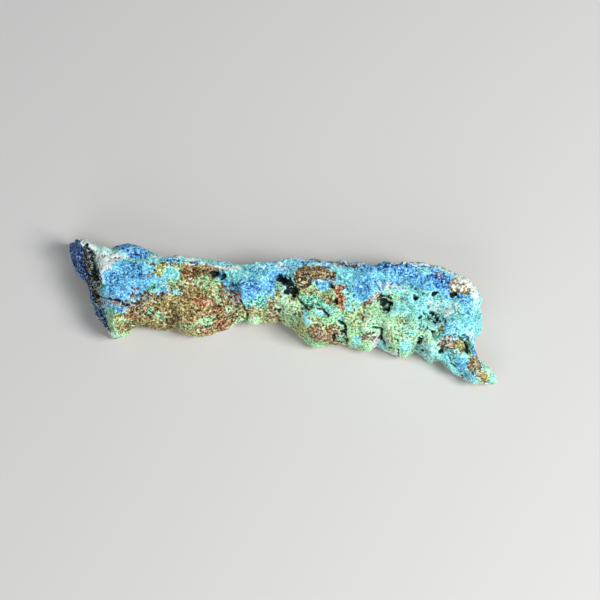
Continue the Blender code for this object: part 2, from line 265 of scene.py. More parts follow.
LAYOUT: tuple[Patch | Strip, ...] = tuple(feature(*row) for row in (
    # grounds of the crust
    (OCHRE, 190, 305, 62, 34), (BROWN, 150, 312, 30, 22, 12, 0.8),
    (BROWN, 230, 303, 20, 24, -10, 0.7), (GREEN, 345, 315, 120, 48), (OLIVE, 282, 312, 30, 22, 20),
    (CYAN, 452, 318, 36, 40, 10), (GREEN, 428, 341, 15, 14, 0, 0.8),
    (CYAN, 412, 316, 12, 20, 0, 0.5), (GREEN, 424, 326, 10, 10, 0, 0.4),
    (AZURE, ((225, 268), (262, 268), (300, 266), (340, 272), (380, 274), (420, 276), (452, 288)), 26),
    (AZURE, 250, 286, 26, 22, 15), (CYAN, 236, 272, 16, 9, 10), (AZURE, 362, 290, 22, 13, 10),
    (CYAN, 425, 302, 26, 12, 5), (CYAN, 340, 275, 20, 8, 5, 0.8),
    # left end
    (AZURE, 130, 279, 42, 24, 8), (AZURE, 112, 294, 18, 14, 10),
    # the navy band of the left end is partly azurite and partly painted shade, as that end faces away from
    # the light
    (NAVY, ((76, 240), (77, 262), (86, 285), (94, 308), (108, 336)), 17),
    (WHITE, ((86, 242), (96, 250), (112, 253), (120, 256), (150, 259)), 7),
    (CYAN, ((96, 252), (112, 254), (122, 259), (150, 260), (176, 257), (215, 264)), 7, 0.8),
    (WHITE, 106, 264, 12, 7, -35),
    (WHITE, ((90, 252), (98, 264), (101, 282)), 6, 0.8),
    (OLIVE, 95, 248, 5, 4, 40, 0.8), (AZURITE, 134, 250, 19, 8, 12),
    (NAVY, 132, 251, 12, 4, 20, 0.42), (AZURITE, 134, 271, 17, 9, 10, 0.55),
    (AZURITE, 114, 280, 10, 10, 60, 0.45), (AZURITE, 124, 291, 14, 6, 20, 0.35),
    (CYAN, 150, 268, 10, 5, 10, 0.5),
    (BROWN, ((91, 270), (95, 285), (97, 298), (104, 303)), 6, 0.85),
    (BROWN, ((84, 252), (88, 266), (92, 284)), 5, 0.75),
    (DARK, ((85, 245), (89.5, 257), (94.5, 269), (98.5, 284)), 8, 0.93),
    (WHITE, ((92, 243), (98, 254), (103, 264)), 5, 0.75),
    (DARK, ((84, 262), (90, 286), (95, 303), (107, 330)), 9, 0.55),
    (OCHRE, ((97, 299), (108, 303), (120, 304)), 3, 0.7),
    (TEAL, 103, 289, 5, 7, 0, 0.6),
    # upper edge and blue shoulder of the bulge
    (BROWN, ((150, 262), (170, 264), (185, 266)), 7, 0.8),
    (CYAN, ((152, 258), (176, 257), (200, 262), (220, 267), (246, 266)), 8),
    (WHITE, ((150, 257), (168, 256), (184, 257.5), (200, 260)), 2.6, 0.85),
    (WHITE, ((186, 260), (206, 264), (222, 268), (240, 268)), 5, 0.75),
    (AZURITE, ((164, 259.5), (177, 260.5)), 3.4, 0.9),
    (NAVY, ((193, 262.5), (200, 264)), 3, 0.9),
    (BROWN, 206, 269.5, 15, 5, 12), (PINK, 212, 268, 7, 3, 10, 0.5),
    (RUST, 188, 271, 10, 7, 10, 0.6), (OLIVE, 161, 271, 6, 7, 20, 0.9), (CYAN, 171, 276, 8, 9, 15),
    (CYAN, 158, 285, 8, 6, 0, 0.8), (GREEN, 178, 286, 11, 7, 20, 0.6), (CYAN, 176.5, 292.5, 5, 3.4),
    (OLIVE, 168, 285, 8, 6, 20, 0.6), (GREEN, 209, 282, 12, 7, 15, 0.7),
    (WHITE, 190, 281, 7, 5, 0, 0.35), (DARK, 214, 273.5, 6, 2.6, 15, 0.7),
    (OLIVE, 214, 292, 14, 9, 40, 0.55), (GREEN, 219, 296, 7, 10, -20, 0.5),
    (PINK, 148.5, 275.5, 4, 3, 0, 0.8), (PINK, 137, 288.5, 6, 3, -10, 0.8),
    (RUST, 133, 295.5, 5, 2.4, 0, 0.8), (TEAL, 151, 288, 6, 4, 0, 0.8),
    (BROWN, 148, 295, 9, 4, 10, 0.8), (NAVY, 116, 301, 14, 3, 10, 0.5),
    (BROWN, 111, 296, 10, 3.4, 15, 0.4), (AZURITE, 116, 292, 14, 5, 15, 0.5),
    # brown and rusty heart of the bulge
    (BROWN, 158, 301, 22, 9, 10, 0.75), (RUST, 166, 307, 10, 4, 15, 0.5),
    (RUST, 190, 295, 7, 7, 0, 0.45), (OCHRE, 178, 303, 16, 8, 10, 0.8),
    (RUST, 204, 301.5, 12, 4.4, 5, 0.9), (PINK, 202, 302, 8, 2.4, 5, 0.5),
    (BROWN, 231, 303, 10, 19, -20, 0.8), (PINK, 233, 314, 11, 6, -20, 0.35),
    (RUST, 190, 319, 13, 6, 10, 0.5), (PINK, 206, 331, 10, 4, -8, 0.75),
    (RUST, 207, 331.5, 9, 3.4, -8, 0.7), (RUST, 226, 326, 8, 5, -35, 0.8),
    (RUST, 219, 309, 9, 5, 10, 0.5),
    # blue lip and foot of the left, spots over the bulge, and the sharp edges of the left end
    (AZURE, 121, 306, 17, 6, 12), (AZURITE, 127, 306, 9, 3.6, 15, 0.7),
    (PINK, 114, 302.3, 8, 2.2, 5, 0.9), (CYAN, 111, 311, 7, 4, 0, 0.6),
    (OCHRE, 120, 324, 14, 9, 20, 0.75), (OLIVE, 117, 325, 11, 8, 20, 0.5),
    (GREEN, 111, 320, 5, 11, -20, 0.7), (RUST, 132, 316, 9, 4, 10, 0.75),
    (OLIVE, 142, 322, 9, 4, 0, 0.5), (BROWN, 136, 322, 8, 5, 0, 0.5),
    (TEAL, 149, 310, 6, 3, 20, 0.8), (TEAL, 160, 315.5, 7, 3, 25, 0.85),
    (OLIVE, 156, 322, 10, 4, 15, 0.5), (BROWN, 176, 320, 13, 8, 40, 0.65),
    (BROWN, 192, 329, 12, 4, 10, 0.5), (OLIVE, 195, 331, 8, 5, 20, 0.6),
    (BROWN, 213, 322, 14, 9, 0, 0.9), (BROWN, 196, 324, 14, 6, 8, 0.5),
    (BROWN, 136, 309, 16, 6, 20, 0.85), (BROWN, 229, 312, 10, 13, 0, 0.75),
    (BROWN, 240, 310, 4, 10, -10, 0.7),
    (DARK, ((232, 284), (237, 290), (238, 296), (243, 306), (247, 314), (246, 321)), 2.4, 0.7),
    (BROWN, 155, 325, 15, 6, 8, 0.6), (GREEN, 203, 281, 12, 6, 10, 0.5),
    (AZURE, 124, 267, 16, 6, 5, 0.55), (OLIVE, 168, 312, 34, 15, 8, 0.2),
    (GREEN, 206, 321, 9, 4.5, -5, 0.8), (GREEN, 229, 309, 4, 3, 0, 0.85),
    (GREEN, 160, 316, 9, 4, 25, 0.7), (TEAL, 148, 311, 6, 3.6, 20, 0.5),
    (BROWN, 137, 309, 12, 9, 0, 0.8), (GREEN, 125, 321, 7, 4, 0, 0.5),
    (GREEN, 113, 334, 7, 6, 0, 0.75), (DARK, 215, 324, 16, 9, -20, 0.2),
    (DARK, 142, 311, 14, 8, 15, 0.22), (DARK, 232, 310, 9, 8, 0, 0.15),
    (GREEN, 186, 327, 12, 3, 5, 0.5), (RUST, 203, 301, 12, 5, 5, 0.75),
    (RUST, 222, 323, 10, 6, -30, 0.45), (OCHRE, 186, 291, 10, 6, 0, 0.6),
    (AZURE, 142, 250, 10, 5, 15, 0.5), (BROWN, 125, 326, 12, 6, -10, 0.5),
    (BROWN, 276, 309, 10, 6, 0, 0.75), (DARK, 277, 311, 6, 3, 0, 0.7),
    (WHITE, 112, 334, 4, 2.5, 30, 0.7),
    (WHITE, ((83, 241), (95, 247), (108, 252), (122, 255)), 8, 0.9),
    (CYAN, ((99, 249), (112, 250.5), (125, 253)), 4.5, 0.8),
    (DARK, ((97, 254), (110, 256.5), (121, 259)), 1.6, 0.4),
    (WHITE, ((97, 258), (100, 270), (103, 282)), 4, 0.75),
    (DARK, ((86, 283), (92, 304), (104, 327)), 8, 0.6),
    # waist, rusty knob and middle
    (AZURITE, 250, 285, 13, 8, 10, 0.65), (AZURITE, 272, 284, 6, 7, 0, 0.5),
    (AZURITE, 254, 294, 13, 7, 10, 0.5), (CYAN, 262, 277, 10, 6, 0, 0.6),
    (TEAL, 257, 304, 13, 5.4, 0, 0.9), (TEAL, 262, 297, 8, 5, 0, 0.5),
    (CYAN, 247, 301, 7, 4, 0, 0.6), (OLIVE, 256, 315, 15, 6, 5), (RUST, 251, 310, 10, 3, 0, 0.6),
    (GREEN, 256, 319, 9, 3, 0, 0.8), (PINK, 237.5, 296, 4.2, 4, 0, 0.95),
    (OLIVE, 276, 302, 10, 8, 30, 0.65), (GREEN, 288, 308, 13, 9, 20, 0.85),
    (GREEN, 291, 322, 7, 8, 40, 0.5), (WHITE, 288, 305, 9, 6, 20, 0.25),
    (RUST, 272, 304, 5, 3, 0, 0.6), (PINK, 270, 317, 6, 3.5, 0, 0.85), (RUST, 281, 317, 5, 7, -10),
    (WHITE, 279, 307, 3.6, 2, 20, 0.7), (WHITE, 254, 319.5, 3.5, 2.4, 0, 0.8),
    (WHITE, ((268, 260.5), (278, 257.5), (293, 257.5), (306, 259.5)), 3.4, 0.95),
    (WHITE, ((340, 261), (352, 263), (366, 264.5)), 2.6, 0.85),
    (AZURITE, ((296, 262), (318, 262.5)), 4.5, 0.7),
    (AZURITE, ((262, 262), (285, 263)), 4, 0.5),
    (WHITE, ((300, 267), (320, 264.5), (340, 267)), 4, 0.8),
    (BROWN, ((314, 259.5), (330, 261), (340, 263)), 4),
    (WHITE, ((306, 263.5), (322, 265), (344, 269)), 3, 0.6),
    (PINK, ((340, 263.5), (356, 266.5)), 3.6, 0.9),
    (NAVY, ((341, 265.5), (356, 267.5)), 1.6, 0.9),
    (CYAN, 262, 269, 14, 6, 0, 0.5),
    (CYAN, ((256, 263), (290, 263), (330, 268), (354, 271)), 9, 0.5),
    (WHITE, 275, 266, 18, 5, 0, 0.3), (CYAN, 286, 288, 9, 12, -20, 0.4),
    (WHITE, 284, 268, 8, 4, 0, 0.45), (CYAN, 290, 275, 6, 6, 0, 0.8),
    (OLIVE, 302, 289, 10, 7, 20, 0.85), (BROWN, 304, 277, 10, 11, 0), (BROWN, 322.5, 274, 14, 8, 5),
    (DARK, 331, 276, 5, 3, 20, 0.5), (BROWN, 303, 284, 9, 6, 0, 0.9),
    (DARK, 303, 280, 11, 10, 0, 0.46), (RUST, 301, 271, 6, 3, 0, 0.6),
    (DARK, 285, 281, 10, 5, 40, 0.72), (DARK, 291.5, 289, 5.5, 8, 0, 0.72),
    (NAVY, 330.5, 286, 3.6, 3.8, 0, 0.8), (OCHRE, 303, 283, 7, 4, 10, 0.4),
    (AZURE, 322, 284, 6.5, 4.5, 0), (CYAN, 345, 284, 10, 10, 0, 0.5),
    (AZURITE, 322, 285, 6, 3.4, 0, 0.5), (WHITE, 321, 281, 3, 1.4, 0, 0.5),
    (BROWN, 312, 291, 7, 4, 10, 0.7), (RUST, 315, 290.5, 4, 3, 0, 0.7),
    (OCHRE, 320, 296, 12, 5, 15, 0.55), (RUST, 337.5, 288.5, 5.5, 4.5, 10),
    (RUST, 342, 301, 6, 9, -15), (OCHRE, 329, 299, 6, 4, 0, 0.85), (WHITE, 335, 281, 4, 3, 0, 0.6),
    (TEAL, 312, 302, 16, 8, 15, 0.8), (CYAN, 330, 311, 9, 5, 20, 0.6),
    (OLIVE, 292, 313, 14, 7, 20, 0.8), (CYAN, 307, 319, 4.5, 6.5, -10, 0.95),
    (CYAN, 320.5, 312, 4, 3.2, 0, 0.95), (WHITE, 321, 311, 2.2, 1.6, 0, 0.8),
    (CYAN, 340.5, 318, 3, 4.6, -10, 0.85), (OLIVE, 297, 331, 11, 10, 40, 0.85),
    (GREEN, 289, 316, 13, 10, 20, 0.6), (WHITE, 292, 314, 12, 10, 20, 0.15),
    (OCHRE, 317, 320, 8, 3, 10, 0.7), (BROWN, 323, 333.5, 16, 9.5, 8),
    (BROWN, 334, 332, 8, 9, 0, 0.8), (BROWN, 334, 339, 11, 7, 0, 0.95),
    (DARK, 340, 334, 5, 10, -20, 0.5), (RUST, 333, 328.5, 7, 3, 0, 0.5),
    (PINK, 319, 336, 10, 5, 10, 0.3), (GREEN, 323.5, 328, 2, 1.8), (TEAL, 340, 339, 4, 3, -20, 0.8),
    (WHITE, 343.5, 332, 2.6, 2, 0, 0.85),
    # right, with the vugs
    (OLIVE, 358, 318, 16, 12, 20, 0.55), (OLIVE, 365, 313, 7, 5, 0, 0.5),
    (RUST, 363, 317, 2.4, 2, 0, 0.7), (CYAN, 352, 303, 9, 9, 40, 0.6),
    (TEAL, 349, 296, 8, 6, 40, 0.55), (AZURITE, 361, 287, 10, 5, 15, 0.62),
    (AZURITE, 377, 266, 18, 5, 5, 0.7),
    (AZURITE, ((366, 265), (400, 265), (440, 271)), 8, 0.7),
    (AZURITE, 401, 269, 12, 6, 5, 0.9), (AZURITE, 419, 273, 14, 6, 15, 0.8),
    (AZURITE, 441, 281, 14, 8, 40, 0.85), (NAVY, 394, 265.5, 17, 3.4, 0, 0.55),
    (NAVY, 441, 279, 14, 5, 35, 0.35), (CYAN, 425, 271, 6, 3.6, 0, 0.9),
    (CYAN, 388, 276, 20, 5, 5, 0.5),
    (WHITE, ((392, 262.5), (412, 263), (432, 266), (444, 270), (456, 275.5)), 3, 0.75),
    (PINK, 439, 275, 8, 3, 20, 0.6), (WHITE, 392, 287, 16, 6, 10, 0.5),
    (PINK, 396, 285, 12, 4, -5, 0.4), (PINK, 402, 298, 6, 4, 0, 0.62),
    (CYAN, 404, 291, 18, 8, 10, 0.6), (CYAN, 400, 309, 17, 9, 10, 0.65),
    (OCHRE, ((364, 304), (371, 300.5), (380, 294.5)), 6, 0.75),
    (RUST, ((366, 303), (371, 300.5), (379, 295.5)), 5, 0.4),
    (PINK, 373, 299, 7, 3, -35, 0.5), (OLIVE, 401, 321, 6, 3, 0, 0.9),
    (OCHRE, 386, 328, 5, 6, 0, 0.62), (OLIVE, 390, 336, 6, 5, 0, 0.5),
    (BROWN, 368, 336, 10, 6, -5, 0.78), (WHITE, 378, 341, 8, 7, 0, 0.7),
    (OLIVE, 389, 338, 5, 7, 0, 0.6), (WHITE, 388, 340, 5, 6, 0, 0.4),
    (OLIVE, 389, 331, 6, 7, 0, 0.5), (PINK, 371, 339, 8, 4, 0, 0.5),
    (CYAN, 357, 340, 3, 4.4, 10, 0.95), (CYAN, 382.5, 345.5, 3.8, 4, 0),
    (CYAN, 405, 346, 7, 7, 10, 0.8), (TEAL, 411, 333.5, 4, 2.6, 0, 0.8),
    (TEAL, 404, 350, 6, 3, 0, 0.6), (CYAN, 426, 352, 13, 9, 25, 0.75),
    (WHITE, 424, 350, 12, 8, 25, 0.3), (WHITE, 420, 338, 26, 14, 25, 0.16),
    (WHITE, 372, 322, 24, 12, 0, 0.12), (OLIVE, 404, 330, 22, 10, 20, 0.22),
    (CYAN, 372, 326, 20, 10, 0, 0.16), (CYAN, 412, 330, 22, 12, 20, 0.22),
    (DARK, ((375, 328), (380.5, 328.5), (381.5, 333), (381, 338), (384, 342)), 2.0, 0.85),
    (WHITE, ((385, 350.5), (393, 354), (400, 355)), 3, 0.85),
    (WHITE, 451, 308, 10, 8, 30, 0.35), (TEAL, 434, 316, 11, 10, 40, 0.35),
    (DARK, 434, 317.5, 9, 6, 65, 0.55), (CYAN, 437, 306, 14, 8, 10, 0.85),
    (WHITE, 438, 306, 14, 8, 10, 0.55), (CYAN, 438, 306, 12, 7, 10, 0.4),
    (CYAN, 447, 313, 8, 7, 30, 0.8), (WHITE, 447, 312, 7, 6, 30, 0.5),
    (DARK, 428, 312.5, 8, 4, 20, 0.2), (DARK, 443, 319, 4, 3, 20, 0.4),
    (DARK, 426, 328, 8, 2.6, 25, 0.4), (DARK, 433, 332.5, 4, 1.8, 50, 0.7),
    (AZURE, 470, 315, 8, 22, -5, 0.55), (AZURE, 452, 330, 12, 10, 30, 0.5),
    (PINK, 458, 311.5, 5, 3.4, 0, 0.25), (PINK, 456, 327, 3, 2.6, 0, 0.45),
    (DARK, 456, 335, 6, 4, 30, 0.3), (CYAN, 470, 333, 8, 11, 0, 0.9),
    (WHITE, 471, 334, 6, 8, 0, 0.3), (OCHRE, 442, 327, 3.6, 5.4, 10, 0.85),
    (WHITE, 439, 324, 3, 3, 0, 0.5), (OCHRE, 461, 286, 11, 9, 10, 0.95),
    (WHITE, 461, 285, 10, 8, 10, 0.5),
    (WHITE, ((459, 276), (467, 281), (473, 288), (475, 296), (478, 307)), 5),
    (CYAN, ((476, 300), (479, 310), (476, 330)), 5, 0.8),
    (AZURITE, 464, 298, 8, 4, 10, 0.8), (PINK, 447, 344, 9, 10, 25, 0.8),
    (BROWN, 448, 345, 9, 9, 25, 0.6), (WHITE, 445, 341, 8, 8, 0, 0.2),
    (CYAN, 438, 340, 5, 5, 0, 0.6), (BROWN, 459, 346.5, 6.5, 7.5, 0),
    (DARK, 466.5, 338.5, 4, 4.4, -35, 0.7), (AZURITE, 471, 340, 4, 9, -20, 0.5),
    (OLIVE, 463, 346, 5, 5.5, 0, 0.9), (OCHRE, 460, 351, 6, 4, 0, 0.9),
    (WHITE, 454, 354, 5, 2, 10, 0.95),
    # hooked tail
    (CYAN, 458, 368, 24, 14, 38), (CYAN, 486, 370, 12, 16, -20), (AZURE, 463, 364, 7, 7, 20, 0.9),
    (AZURITE, 477, 355.5, 6, 4.4, 35, 0.9), (AZURE, 470, 376, 8, 6, 30, 0.6),
    (BROWN, 475, 365, 8, 7.5, 40, 0.92), (OCHRE, 484, 377, 7, 6, 40, 0.9),
    (GREEN, 489, 373, 4, 9, -10, 0.6), (RUST, 462, 376.5, 3, 2.6, 0, 0.8),
    (WHITE, ((455, 374.5), (463, 380), (480, 382)), 1.8, 0.7),
))  # fmt: skip

PITS: tuple[Pit, ...] = tuple(Pit(*row) for row in (
    (214.5, 274, 4.6, 2.4, 15, 0.55), (222.5, 277, 2.2, 3, -30, 0.45), (280, 278.5, 6, 3.4, 10, 0.4),
    (286, 282, 6, 4.4, 25, 0.36), (291, 287.5, 5.4, 4.8, 60, 0.36), (292.5, 292, 4.4, 4.6, 20, 0.4),
    (287.5, 290.5, 3, 3.8, 20, 0.35), (277.5, 310.5, 4.4, 2.2, 0, 0.4), (335, 301.5, 1.8, 3.6, 0, 0.5),
    (317, 284.5, 1, 2.4, 0, 0.3), (331, 286, 2.6, 2.4, 0, 0.35), (342.5, 333, 2.2, 3, 0, 0.45),
    (334.5, 338.5, 1.6, 3.2, 0, 0.45), (346, 342, 1.4, 4, -20, 0.4), (382, 298.5, 4, 3.4, 0, 0.45),
    (385, 302.5, 5.4, 4.6, 30, 0.4), (386, 307.5, 4.6, 3.6, 0, 0.45), (388.5, 298, 3, 2.4, -30, 0.45),
    (391, 304, 2.2, 2.6, 0, 0.35), (381.5, 304, 2, 2.8, 0, 0.4), (415.5, 297, 2.4, 2.6, 20, 0.35),
    (434, 293.5, 3, 1.6, -35, 0.4), (420, 316.5, 2.2, 1.3, 0, 0.35), (431, 313, 2.4, 1.6, 40, 0.35),
    (436, 318.5, 1.6, 2.4, 0, 0.35), (444, 319.5, 2, 1.6, 30, 0.35), (433, 332.5, 3, 1.2, 50, 0.4),
    (419.5, 341.5, 2, 4.2, 10, 0.5), (422.5, 350.5, 1.6, 1.4, 0, 0.4), (466.5, 350, 1.4, 3.2, 0, 0.45),
    (441, 352, 1.8, 2.6, 20, 0.35), (438, 346, 1, 2, 0, 0.3), (452.5, 294.5, 2.2, 2.8, 0, 0.4),
    (457, 295.5, 1.6, 1.4, 0, 0.3), (134, 248.5, 2, 1, 0, 0.2), (142, 252.5, 2.4, 1, 20, 0.2),
))  # fmt: skip

CRACKS: tuple[Crack, ...] = tuple(Crack(*row) for row in (
    (((86, 245), (89, 256), (92, 266), (96, 280)), 3.4, 0.7),
    (((91, 251), (95, 262), (99, 275), (100, 284)), 2.2, 0.6),
    (((97, 296), (105, 299), (113, 300), (121, 301.5), (127, 305)), 1.8, 0.5),
    (((92, 300), (98, 309), (104, 320), (107, 330)), 2.6, 0.5),
    (((104, 256), (112, 259), (118, 261)), 1.0, 0.25),
    (((139, 309), (143, 312), (150, 318), (153, 320)), 1.4, 0.4),
    (((150, 312), (160, 316), (166, 319), (168, 326)), 1.2, 0.35),
    (((222, 275), (226, 280)), 1.6, 0.5),
    (((231, 283), (236, 286), (237, 290)), 1.0, 0.3),
    (((240, 301), (243, 307), (247, 314), (246, 320)), 1.7, 0.55),
    (((262, 312), (268, 312), (275, 311.5)), 1.2, 0.35),
    (((297, 297), (302, 303), (308, 309)), 1.9, 0.5),
    (((318, 308.5), (323, 309.5), (326, 313), (328, 316)), 1.8, 0.45),
    (((339, 321), (344, 324.5), (346, 329), (345, 334), (347, 341)), 2.2, 0.6),
    (((374, 328), (380.5, 328.5), (381.5, 333), (381, 338), (384, 342), (385, 346)), 1.7, 0.7),
    (((395, 339), (398, 341), (398.5, 346)), 1.2, 0.4),
    (((388, 348), (395, 349.5), (398, 351), (398.5, 356)), 1.5, 0.5),
    (((375, 281), (377, 286), (380, 289)), 1.2, 0.35),
    (((406, 283), (412, 286), (417, 290.5)), 1.1, 0.3),
    (((395, 264.5), (401, 262.8), (409, 263)), 1.6, 0.4),
    (((432, 275), (441, 275.5), (450, 277)), 1.1, 0.3),
    (((422, 294), (428, 293), (434, 293)), 1.0, 0.3),
    (((449, 291), (451, 297), (458, 297)), 1.4, 0.4),
    (((449.5, 358), (451, 364), (456, 367.5)), 1.6, 0.4),
    (((455, 358), (452, 360)), 1.2, 0.3),
    (((461, 338.5), (466, 344), (467, 353)), 1.8, 0.5),
    (((470, 382.3), (482, 383), (492, 383.5)), 1.2, 0.3),
))  # fmt: skip


# ---- noise over the stone -----------------------------------------------------------------------------
def noise_field(points: list[Vector], size: float, seed: int, octaves: int = 3) -> np.ndarray:
    """Samples fractal noise over the stone.

    Args:
        points: Places in mm.
        size: Size of the largest blotches, in mm.
        seed: Picks one of many patterns.
        octaves: Layers of ever finer noise.

    Returns:
        Numbers about 0, most of them between -1 and 1.
    """
    shift = Vector((seed * 7.31, seed * 3.17 + 40.0, seed * 5.53))
    k = 1.0 / size
    return np.array([noise.fractal(p * k + shift, 0.9, 2.0, octaves) for p in points])


def warped(points: list[Vector], size: float, reach: float, seed: int) -> list[Vector]:
    """Shifts places about, so that what is scattered over them comes out uneven.

    Args:
        points: Places in mm.
        size: Size of the swirls, in mm.
        reach: How far a place may shift, in mm.
        seed: Picks one of many patterns.

    Returns:
        The shifted places.
    """
    shift, k = Vector((seed * 3.9, 11.0 - seed, seed * 1.7)), 1.0 / size
    return [p + noise.noise_vector(p * k + shift) * reach for p in points]


def facet_field(points: list[Vector], size: float, seed: int) -> np.ndarray:
    """Breaks the surface into tilted facets.

    Args:
        points: Places in mm.
        size: Spacing of the facets in mm.
        seed: Picks one of many patterns.

    Returns:
        The height at each place, about -1 to 1.
    """
    shift, k, heights = Vector((seed * 2.71, seed * 6.13, seed * 1.37)), 1.0 / size, []
    for p in points:
        place = p * k + shift
        centre = noise.voronoi(place)[1][0]
        heights.append((place - centre).dot(noise.noise_vector(centre * 5.3)) * 2.4)
    return np.array(heights)


def grain_field(points: list[Vector], size: float, seed: int) -> tuple[np.ndarray, np.ndarray]:
    """Scatters rounded grains over the stone.

    Args:
        points: Places in mm.
        size: Spacing of the grains in mm.
        seed: Picks one of many patterns.

    Returns:
        The height of the dome at each place, 0 to 1, and a random number for each grain, -1 to 1.
    """
    shift = Vector((seed * 5.17, seed * 9.71, seed * 2.93 + 20.0))
    k = 1.0 / size
    domes, tones = [], []
    for p in points:
        reach, centres = noise.voronoi(p * k + shift)
        domes.append(max(0.0, 1.0 - (reach[0] / max(0.5 * (reach[0] + reach[1]), 1e-6)) ** 2))
        tones.append(noise.cell(centres[0] * 3.7) * 2.0 - 1.0)
    return np.sqrt(np.array(domes)), np.array(tones)


def ramp(x: np.ndarray, low: float, high: float) -> np.ndarray:
    """Returns a smooth step from 0 at low to 1 at high."""
    t = np.clip((x - low) / (high - low), 0.0, 1.0)
    return t * t * (3.0 - 2.0 * t)


# ---- the stone ----------------------------------------------------------------------------------------
def vectors(items: bpy.types.bpy_prop_collection, name: str) -> np.ndarray:
    """Reads a vector that each vertex or face has.

    Args:
        items: The mesh's vertices or polygons.
        name: What to read, such as co or normal.

    Returns:
        The vectors, one row each.
    """
    values = np.empty(len(items) * 3)
    items.foreach_get(name, values)
    return values.reshape(-1, 3)


@dataclass(frozen=True)
class Skin:
    """The vertices of the stone as the survey sees them, and the noise that makes outlines ragged."""

    places: np.ndarray  # in metres, before they move
    normals: np.ndarray
    points: list[Vector]  # the same places in mm
    u: np.ndarray  # squares to the right
    v: np.ndarray  # squares down
    wander: np.ndarray
    flutter: np.ndarray  # finer than wander


